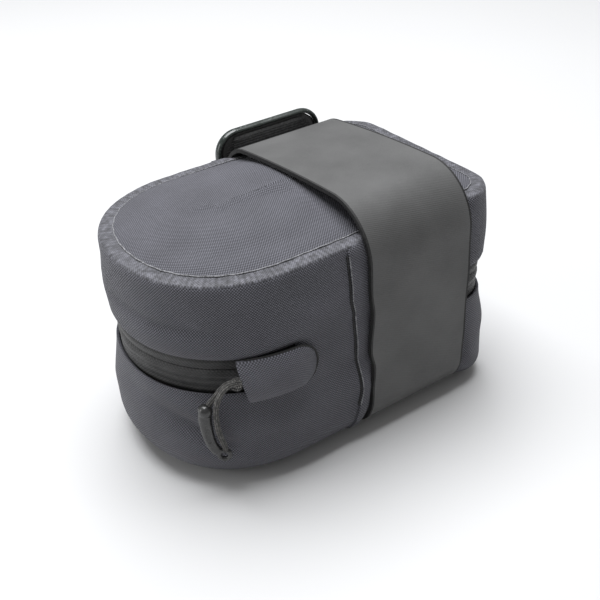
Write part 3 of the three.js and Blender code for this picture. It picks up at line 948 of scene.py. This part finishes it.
def cut_zip_slot(piece):
    make_active(piece)
    bpy.ops.object.mode_set(mode="EDIT")
    bpy.ops.mesh.select_mode(type="FACE")
    bpy.ops.mesh.select_all(action="DESELECT")
    mesh = bmesh.from_edit_mesh(piece.data)
    for face in mesh.faces:
        middle = face.calc_center_median() / MM
        face.select = TAPE_BOTTOM + 0.1 < middle.z < TAPE_TOP - 0.1 and not near_hinge(middle.x, middle.y)
    bmesh.update_edit_mesh(piece.data)
    bpy.ops.mesh.delete(type="FACE")
    bpy.ops.object.mode_set(mode="OBJECT")


def wall_is_held(corner):
    by_zip = TAPE_BOTTOM - 1.5 < corner.z < TAPE_TOP + 1.5
    by_strap = strap_mask(corner.x) > 0.02 and abs(corner.y) > HALF - FLAT_INSET
    by_seam = abs(corner.x - SEAM_X) < 6
    return corner.z < 5 or corner.z > 86 or by_zip or by_strap or by_seam


def make_walls():
    nose = wall_cloth("nose_cloth", -0.6, OUTLINE.far_seam + 0.6, 0)
    rear = wall_cloth("rear_cloth", OUTLINE.far_seam - 0.4, OUTLINE.length + 0.4, CLOTH + 0.15)
    for piece in (nose, rear):
        dress(piece, "bag_cloth", bag_cloth(), cut_edge_and_painted_highlight())
        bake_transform(piece)
    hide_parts("lower_wall_nose", "upper_wall_nose")
    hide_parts("lower_wall_rear", "upper_wall_rear", "side_hinge_cloth_lower", "side_hinge_cloth_upper")


# Top and bottom


def crown_at(inset):
    return CROWN * (1 - (1 - min(inset / HALF, 1)) ** 2)


def panel(name, insets, height, thickness, ring_only=False):
    """A sheet lofted from its rim inwards. height(distance, x, y, inset) shapes it."""
    distances = spaced(0, OUTLINE.length, 2.4)[:-1]

    def place(station, ring):
        inset = insets[ring]
        x, y = OUTLINE.inset(distances[station], inset)
        nx, ny = OUTLINE.outward(distances[station])
        out = OUTLINE.fullness(distances[station]) * (1 - ease(inset, 5, 30))
        x, y = x + nx * out, y + ny * out
        inward = strap_mask(x) * 2.4 * (1 - ease(inset, 0, 9))
        y -= math.copysign(inward, y) if abs(ny) > 0.5 else 0
        return x, y, height(x, y, inset)

    piece = loft(name, len(distances), len(insets), place, (distances, insets), closed=True)
    if not ring_only:
        make_active(piece)
        bpy.ops.object.mode_set(mode="EDIT")
        fill_middle(piece, len(insets) - 1)
        bpy.ops.object.mode_set(mode="OBJECT")
        plan_map(piece)
    turn_outward(piece, (0, 0, 50))
    return piece


def fill_middle(piece, last_ring):
    """Closes the narrow slot that the innermost ring leaves along the long middle line."""
    bpy.ops.mesh.select_all(action="DESELECT")
    mesh = bmesh.from_edit_mesh(piece.data)
    ring_of = mesh.verts.layers.int["ring"]
    for edge in mesh.edges:
        edge.select = all(corner[ring_of] == last_ring for corner in edge.verts)
    bmesh.update_edit_mesh(piece.data)
    bpy.ops.mesh.edge_face_add()


def finish_panel(piece, thickness, slot, body, node, *materials):
    thicken(piece, thickness, even=False)
    smooth(piece)
    dress(piece, slot, *materials)
    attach(piece, body)
    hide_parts(node)


def make_top():
    def top_height(x, y, inset):
        pressed = 0.9 * hump(x, STRAP_MIDDLE, 30) * (1 - ease(inset, 6, 26))
        ripple = 0.3 * math.sin(x * 0.11 + 1) * math.sin(y * 0.09 + 0.4) * ease(inset, 9, 20)
        rise = crown_at(inset) - crown_at(WELD_INSET)
        return under_strap(x, y, FOLD_HEIGHT + 0.4 + rise - pressed + ripple)

    top = panel("top_cloth", [WELD_INSET, WELD_INSET + 0.5, *np.linspace(9, 46.6, 18)], top_height, 0.7)
    settle(top, lambda corner: corner.z < FOLD_HEIGHT + 2 or strap_mask(corner.x) > 0.02, cap=0.8, pressure=2)
    finish_panel(top, 0.7, "bag_cloth", "lid", "top_panel", bag_cloth(), cut_edge_and_painted_highlight())
    insets = [0.5, 0.8, 1.3, 2, 3, 4, 5, 6, 7, 8.5]
    heights = [90.0, 90.6, 90.95, 91.1, 91.2, 91.15, 91.1, 91.2, 91.25, 91.25]

    def band_height(x, y, inset):
        scallop = 0.05 * math.sin(x * 0.9 + y * 0.7) + 0.07 * math.sin(x * 0.37 - y * 0.51)
        return under_strap(x, y, float(np.interp(inset, insets, heights)) + scallop)

    band = panel("weld_band", insets, band_height, 0.8, ring_only=True)
    finish_panel(band, 0.8, "cloth_edge", "lid", "weld_border", weld_band(), cut_edge_and_painted_highlight())
    foam_insets = [12.4, 13, *np.linspace(16, 46.6, 8)]
    foam = panel("top_foam", foam_insets, lambda x, y, inset: top_height(x, y, inset) - 1.3, 2)
    finish_panel(foam, 2, "foam", "lid", "top_foam_sheet", foam_sheet(), foam_sheet())


def make_cut_line_and_highlight():
    """The cut rim of the top cloth, along the inner side of the weld: pale threads, partly a painted highlight."""
    route = []
    for distance in spaced(0, OUTLINE.length, 2.4):
        inset = WELD_INSET - 0.1 + 0.15 * math.sin(distance * 0.8)
        x, y = OUTLINE.inset(distance, inset)
        nx, ny = OUTLINE.outward(distance)
        out = OUTLINE.fullness(distance)
        x, y = x + nx * out, y + ny * out
        if abs(ny) > 0.5:
            y -= math.copysign(strap_mask(x) * 2.4 * (1 - ease(inset, 0, 9)), y)
        route.append((x, y, under_strap(x, y, FOLD_HEIGHT + 0.42) - 0.1))
    line = tube("top_cut_line", route, lambda share: (0.26, 0.2), sides=6)
    smooth(line, 60)
    dress(line, "cloth_edge", cut_edge_and_painted_highlight())
    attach(line, "lid")


def make_bottom():
    def bottom_height(x, y, inset):
        return 1.2 + 2.0 * strap_mask(x)

    insets = [FLAT_INSET - 1, FLAT_INSET, *np.linspace(FLAT_INSET + 3, 46.6, 10)]
    bottom = panel("bottom_cloth", insets, bottom_height, 1.2)
    finish_panel(bottom, 1.2, "bag_cloth", "base", "bottom_panel", bag_cloth(), cut_edge_and_painted_highlight())
    foam_insets = [FLAT_INSET + 1, FLAT_INSET + 1.6, *np.linspace(FLAT_INSET + 5, 46.6, 6)]
    foam = panel("bottom_foam", foam_insets, lambda x, y, inset: 5.9, 2.4)
    finish_panel(foam, 2.4, "foam", "base", "bottom_foam_sheet", foam_sheet(), foam_sheet())


# Zip


def zip_distances(step):
    return spaced(OUTLINE.near_side(ZIP_START_X), OUTLINE.near_side(ZIP_END_X), step)


def make_tape(name, heights, body, node):
    """Coated tape, thicker over the coils and turned inward at the line where the two tapes meet."""
    distances = zip_distances(2.4)

    def inset_at(z):
        from_line = abs(z - ZIP_HEIGHT)
        return 1.75 - 0.45 * hump(from_line, 2.2, 1.5) + 0.5 * (1 - ease(from_line, 0, 0.8))

    def place(station, ring):
        x, y = OUTLINE.inset(distances[station], inset_at(heights[ring]))
        return x, y, heights[ring]

    piece = loft(name, len(distances), len(heights), place, (distances, heights))
    turn_outward(piece, (0, 0, 50))
    thicken(piece, 0.8)
    smooth(piece)
    dress(piece, "zip_tape", zip_tape(), zip_tape())
    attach(piece, body)
    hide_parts(node)


def one_tooth():
    """One turn of the coil: a small rounded block that leans across the meeting line."""
    deselect()
    bpy.ops.mesh.primitive_cube_add(size=1)
    tooth = start_piece("tooth")
    tooth.scale = (0.75 * MM, 1.6 * MM, 1.7 * MM)
    set_in_place(tooth)
    add_modifier(tooth, "BEVEL", width=0.25 * MM, segments=1)
    return tooth


def make_coil(name, height, body, node):
    tooth = one_tooth()
    model = tooth.data
    places = []
    for distance in zip_distances(1.5)[1:-1]:
        x, y = OUTLINE.inset(distance, 3.75)
        nx, ny = OUTLINE.outward(distance)
        turn = Matrix.Rotation(math.atan2(ny, nx) - math.pi / 2, 4, "Z")
        places.append(Matrix.Translation(Vector((x, y, height)) * MM) @ turn)
    row = bmesh.new()
    for place in places:
        first = len(row.verts)
        row.from_mesh(model)
        row.verts.ensure_lookup_table()
        bmesh.ops.transform(row, matrix=place, verts=row.verts[first:])
    coil = bpy.data.objects.new(name, bpy.data.meshes.new(name))
    row.to_mesh(coil.data)
    row.free()
    bpy.context.scene.collection.objects.link(coil)
    bpy.data.objects.remove(tooth)
    smooth(coil, 30)
    dress(coil, "zip_coil", zip_coil())
    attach(coil, body)
    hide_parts(node)


def make_zip():
    half_gap = 0.12
    upper = [ZIP_HEIGHT + half_gap, 53.8, 54.3, 55, 56, 57, 58, 59, TAPE_TOP + 1.2]
    lower = [TAPE_BOTTOM - 1.2, 44.6, 46, 47.5, 49, 50.5, 51.6, 52.4, 53.1, ZIP_HEIGHT - half_gap]
    make_tape("zip_tape_upper", upper, "lid", "upper_zip_tape")
    make_tape("zip_tape_lower", lower, "base", "lower_zip_tape")
    make_coil("zip_coil_upper", ZIP_HEIGHT + 1.1, "lid", "upper_zip_coil")
    make_coil("zip_coil_lower", ZIP_HEIGHT - 1.1, "base", "lower_zip_coil")
    for node in ("slider_body", "slider_bail", "zip_start_stop", "zip_end_stop"):
        finish_node(node, black_metal())


def finish_node(node, material):
    piece = bpy.data.objects[node]
    piece.data.materials.clear()
    piece.data.materials.append(material)


# Garage


GARAGE_LENGTH = 29.6
GARAGE_MIDDLE = 50.3
GARAGE_HALF = 9.2
MOUTH_ANGLE = math.radians(-117.6)


def garage_point(along, z, lift):
    """along runs from the mouth, round the nose and on to the flat side."""
    on_arc = HALF * (-math.pi / 2 - MOUTH_ANGLE)
    reach = HALF + lift
    if along < on_arc:
        angle = MOUTH_ANGLE + along / HALF
        return NOSE_X + reach * math.cos(angle), reach * math.sin(angle), z
    return NOSE_X + along - on_arc, -reach, z


def make_garage():
    """A hood over the parked slider: open at its mouth, welded flat at its round end."""
    shares = [*np.linspace(0, 0.66, 14)[:-1], *(1 - 0.34 * np.cos(np.linspace(0, math.pi / 2, 14)))]
    rows = np.sin(np.linspace(-math.pi / 2, math.pi / 2, 19))

    def place(station, ring):
        share, row = shares[station], rows[ring]
        past = max(share * GARAGE_LENGTH - (GARAGE_LENGTH - GARAGE_HALF), 0) / GARAGE_HALF
        rounded = math.sqrt(max(1 - past * past, 0))
        z = GARAGE_MIDDLE + GARAGE_HALF * rounded * row
        arch = math.sqrt(max(1 - row * row, 0)) ** 0.8
        droop = 0.5 * row * (1 - share)
        lift = 1.25 + (4.7 - 3.1 * share - droop) * arch * rounded ** 1.4
        slant = -0.21 * GARAGE_HALF * row * (1 - share)
        return garage_point(share * GARAGE_LENGTH + slant, z, lift)

    across = [GARAGE_HALF * 1.2 * row for row in rows]
    along = [share * GARAGE_LENGTH for share in shares]
    hood = loft("garage_hood", len(shares), len(rows), place, (along, across))
    make_active(hood)
    bpy.ops.object.mode_set(mode="EDIT")
    bpy.ops.mesh.select_all(action="SELECT")
    bpy.ops.mesh.remove_doubles(threshold=0.05 * MM)
    bpy.ops.object.mode_set(mode="OBJECT")
    turn_outward(hood, (-35, 0, 50))
    thicken(hood, 0.9)
    smooth(hood)
    # The rim takes the near-black edge finish: partly the hood's dark cut edge, partly a painted shadow outline
    # along it.
    dress(hood, "bag_cloth", garage_cloth(), black_edge_and_painted_shadow())
    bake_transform(hood)
    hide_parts("garage_upper", "garage_lower")
    make_garage_shadow_line()


def make_garage_shadow_line():
    """A thin near-black tube along the top of the hood and round its end: a painted shadow line where the hood's
    edge stands off the wall.
    """
    flat = GARAGE_LENGTH - GARAGE_HALF
    top = [garage_point(along, GARAGE_MIDDLE + GARAGE_HALF, 1.35) for along in np.linspace(1, flat, 14)]
    bend = []
    for turn in np.radians(np.linspace(80, -95, 20)):
        z = GARAGE_MIDDLE + GARAGE_HALF * math.sin(turn)
        bend.append(garage_point(flat + GARAGE_HALF * math.cos(turn), z, 1.35))
    line = tube("garage_seam", [*top, *bend], lambda share: (0.45, 0.45), sides=8)
    smooth(line, 60)
    dress(line, "bag_cloth", black_edge_and_painted_shadow())
    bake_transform(line)


# Strap


def strap_lower_curve():
    """The outer face from the far side, under the bag and up the near side."""
    outer = BOTTOM_RADIUS + STRAP_THICKNESS
    middle = STRAP_INNER_Y - BOTTOM_RADIUS
    flat = [(y, 0) for y in np.linspace(middle, -middle, 24)[1:-1]]
    rise = [(-STRAP_OUTER_Y, z) for z in spaced(20, STRAP_JOINT_Z, 2)]
    return [*arc((middle, outer), outer, 330, 270, 10), *flat, *arc((-middle, outer), outer, 270, 180, 16), *rise]


def strap_upper_curve():
    """The outer face from the near side over the top and down the far side."""
    near_y = NEAR_RADIUS - STRAP_INNER_Y
    far_y = STRAP_INNER_Y - FAR_RADIUS
    rise = [(-STRAP_OUTER_Y, z) for z in spaced(STRAP_JOINT_Z, NEAR_Z, 2)][:-1]
    near = arc((near_y, NEAR_Z), NEAR_RADIUS + STRAP_THICKNESS, 180, 90, 20)
    far = arc((far_y, FAR_Z), FAR_RADIUS + STRAP_THICKNESS, 83, 0, 14)
    crown = [(y, strap_inner_height(y) + STRAP_THICKNESS) for y in np.linspace(near_y, far[0][0], 26)[1:-1]]
    fall = [(STRAP_OUTER_Y, z) for z in spaced(56, FAR_Z, 2)][::-1]
    return [*rise, *near, *crown, *far, *fall[1:]]


def strap_end_curve():
    """The outer face of the far end, from under the bag up to the tip that is peeled to open the strap."""
    outer = BOTTOM_RADIUS + STRAP_THICKNESS
    middle = STRAP_INNER_Y - BOTTOM_RADIUS
    start = arc((middle, outer), outer, 330, 360, 6)
    lean = []
    for z in spaced(19.5, 50, 2):
        lean.append((STRAP_OUTER_Y + (FLAP_Y - STRAP_INNER_Y) * ease(z, 20, 50), z))
    tip = [(FLAP_Y + STRAP_THICKNESS, z) for z in [*spaced(52, 86, 2), *spaced(87, TIP_HEIGHT, 0.8)]]
    return [*start, *lean, *tip]


def strap_warp(x, y, z):
    """The edges waver, lift a little off the bag, and draw in towards the bottom."""
    across = (x - STRAP_MIDDLE) / (STRAP_WIDTH / 2)
    front = wavy(z, (0, 9, 22, 34, 42, 60, 69, 90), (0.5, 0, 0.6, 1.3, -0.1, 1.0, 0.1, 0)) * ease(-across, 0.4, 1)
    draw_in = -0.7 * across * (1 - ease(z, 5, 60))
    near = 1 if y < 0 else 0
    lift = (0.5 * hump(z, 60, 9) + 0.4 * hump(z, 32, 7)) * abs(across) ** 8 * near
    return x + (front + draw_in) * near, y - lift, z


def strap_band(name, curve, place):
    edge = [0, 0.35, 0.9, 2, 4]
    across = [*edge, *np.linspace(7, STRAP_WIDTH - 7, 12), *(STRAP_WIDTH - step for step in reversed(edge))]
    from_start = lengths_of(curve)
    piece = loft(
        name, len(across), len(curve), lambda station, ring: place(STRAP_FRONT + across[station], *curve[ring]),
        (across, from_start),
    )
    turn_outward(piece, (STRAP_MIDDLE, 0, 50))
    thicken(piece, STRAP_THICKNESS)
    smooth(piece)
    dress(piece, "strap_rubber", strap_rubber(), black_edge_and_painted_shadow())
    blacken_edges(piece)
    return piece


def blacken_edges(piece):
    """The cut edges are left black, and so is the face beside them."""
    layer = piece.data.uv_layers["Cloth"].data
    margin = 0.8 * MM
    for face in piece.data.polygons:
        across = sum(layer[index].uv.x for index in face.loop_indices) / face.loop_total
        if across < margin or across > STRAP_WIDTH * MM - margin:
            face.material_index = 1


def rounded_tip(x, y, z):
    """The far end is cut with round corners."""
    into = max(z - (TIP_HEIGHT - TIP_RADIUS), 0)
    narrow = TIP_RADIUS - math.sqrt(max(TIP_RADIUS ** 2 - into ** 2, 0))
    across = (x - STRAP_MIDDLE) / (STRAP_WIDTH / 2)
    return x - across * narrow, y, z


def make_strap():
    lower = strap_band("strap_lower", strap_lower_curve(), strap_warp)
    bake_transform(lower)
    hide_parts("strap_under", "strap_near_side")
    upper = strap_band("strap_upper", strap_upper_curve(), strap_warp)
    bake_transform(upper)
    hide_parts("strap_over")
    end = strap_band("strap_flap_end", strap_end_curve(), rounded_tip)
    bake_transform(end)
    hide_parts("strap_end")


def make_binding():
    """A thin moulded edge round the tip of the strap."""
    half = STRAP_WIDTH / 2 + 1.3
    top = TIP_HEIGHT + 1.3
    radius = TIP_RADIUS + 1.3
    low = 82.3
    outline = [(-half, z) for z in spaced(low, top - radius, 2)][:-1]
    outline += arc((-half + radius, top - radius), radius, 180, 90, 10)
    outline += [(x, top) for x in spaced(-half + radius, half - radius, 2)][1:-1]
    outline += arc((half - radius, top - radius), radius, 90, 0, 10)
    outline += [(half, z) for z in spaced(low, top - radius, 2)][::-1][1:]
    middle_y = FLAP_Y + 0.6
    route = [(STRAP_MIDDLE + x, middle_y, z) for x, z in outline]
    binding = tube("flap_binding", route, lambda share: (1.9, 1.05), sides=16, flat=(0, 1, 0))
    smooth(binding, 50)
    dress(binding, "black_plastic", glossy_binding())
    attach(binding, "strap_flap")
    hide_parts("strap_end_binding")


def make_hooks():
    """Rows of small hooks on a backing, on the face of the tip that looks at the bag."""
    backing_y = FLAP_Y - 0.7
    low = 60
    high = TIP_HEIGHT - 0.6
    deselect()
    bpy.ops.mesh.primitive_cube_add(size=1, location=(STRAP_MIDDLE * MM, backing_y * MM, (low + high) / 2 * MM))
    backing = start_piece("backing")
    backing.scale = ((STRAP_WIDTH - 1) * MM, 0.5 * MM, (high - low) * MM)
    set_in_place(backing)
    add_modifier(backing, "BEVEL", width=0.2 * MM, segments=2)
    first = Vector((STRAP_FRONT + 2.4, backing_y - 0.2, low + 1))
    crook = [(0, 0, 0), (0, -0.45, 0.05), (0, -0.85, 0.25), (0, -0.95, 0.6)]
    route = [first + Vector(step) for step in crook]
    hook = tube("hook", route, lambda share: (0.2 - 0.04 * share, 0.2 - 0.04 * share), sides=5, flat=(1, 0, 0))
    pitch = Vector((0.95, 0, 1.15)) * MM
    columns = int((STRAP_WIDTH - 4.8) / 0.95) + 1
    rows = int((high - low - 2) / 1.15) + 1
    array = dict(use_relative_offset=False, use_constant_offset=True)
    add_modifier(hook, "ARRAY", count=columns, constant_offset_displace=(pitch.x, 0, 0), **array)
    add_modifier(hook, "ARRAY", count=rows, constant_offset_displace=(0, 0, pitch.z), **array)
    tape = join_pieces("hook_patch", [backing, hook])
    round_corners(tape, high)
    smooth(tape, 50)
    dress(tape, "hook_and_loop", hook_tape())
    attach(tape, "strap_flap")
    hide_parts("strap_hook_patch")


def round_corners(piece, high):
    """Draws the upper corners in, as the tip of the strap does."""
    for corner in piece.data.vertices:
        point = corner.co / MM
        into = max(point.z - (high - TIP_RADIUS), 0)
        narrow = TIP_RADIUS - math.sqrt(max(TIP_RADIUS ** 2 - into ** 2, 0))
        across = (point.x - STRAP_MIDDLE) / (STRAP_WIDTH / 2)
        corner.co.x -= across * narrow * MM


def make_loops():
    """The soft pile that the hooks close on, on the outer face of the strap's tail."""
    low, high = 58, 79
    heights = spaced(low, high, 1.2)
    widths = spaced(2, STRAP_WIDTH - 2, 1.6)
    y = STRAP_OUTER_Y + 1.1

    def place(station, ring):
        tuft = 0.12 * math.sin(station * 2.1 + ring * 1.3) * math.sin(ring * 2.3)
        return STRAP_FRONT + widths[station], y + tuft, heights[ring]

    pile = loft("loop_patch", len(widths), len(heights), place, (widths, heights))
    turn_outward(pile, (STRAP_MIDDLE, 0, 70))
    thicken(pile, 0.8)
    smooth(pile, 60)
    dress(pile, "hook_and_loop", loop_tape(), loop_tape())
    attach(pile, "strap_over")
    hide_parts("strap_loop_patch")


# Light, floor and camera


def make_camera():
    azimuth, elevation, roll = math.radians(-32.99), math.radians(33.12), math.radians(-3.11)
    back = Vector((
        math.sin(azimuth) * math.cos(elevation), -math.cos(azimuth) * math.cos(elevation), math.sin(elevation),
    ))
    data = bpy.data.cameras.new("camera")
    data.lens = 57.18
    data.sensor_width = 36
    data.shift_x = 0.0214
    data.shift_y = -0.0103
    camera = bpy.data.objects.new("camera", data)
    bpy.context.scene.collection.objects.link(camera)
    turn = back.to_track_quat("Z", "Y").to_matrix() @ Matrix.Rotation(roll, 3, "Z")
    place = Vector((0, 0, 0.04576)) + back * 0.3991
    camera.matrix_world = Matrix.Translation(place) @ turn.to_4x4()
    bpy.context.scene.camera = camera


def make_floor():
    deselect()
    bpy.ops.mesh.primitive_plane_add(size=8, location=(0, 0, -0.0004))
    floor = start_piece("floor")
    finish = Finish("floor_paper", 0.9)
    fine = finish.noise(finish.object_place(), 3, 2)
    floor.data.materials.append(finish.paint(finish.ramp(fine, (0, grey(0.56)), (1, grey(0.59)))))


def area_light(name, place, size, power, colour):
    light = bpy.data.lights.new(name, "AREA")
    light.shape = "SQUARE"
    light.size = size
    light.energy = power
    light.color = colour
    lamp = bpy.data.objects.new(name, light)
    bpy.context.scene.collection.objects.link(lamp)
    lamp.location = place
    lamp.rotation_euler = (Vector(place) - Vector((0, 0, 0.05))).to_track_quat("Z", "Y").to_euler()


def make_lights():
    world = bpy.data.worlds.new("studio")
    bpy.context.scene.world = world
    world.use_nodes = True
    background = world.node_tree.nodes["Background"]
    background.inputs["Color"].default_value = (1, 1, 1, 1)
    background.inputs["Strength"].default_value = 0.3
    area_light("overhead", (0.0, 0.25, 1.25), 1.0, 30, (0.97, 0.98, 1))
    area_light("left", (-1.1, 0.5, 0.4), 0.6, 3.5, (1, 1, 1))


bpy.context.scene.view_settings.view_transform = "Standard"
make_camera()
make_pull_cord(make_pull_knot(), make_pull_grip())
make_floor()
make_lights()
make_walls()
make_seam_lines()
make_top()
make_cut_line_and_highlight()
make_bottom()
make_zip()
make_garage()
make_strap()
make_binding()
make_hooks()
make_loops()
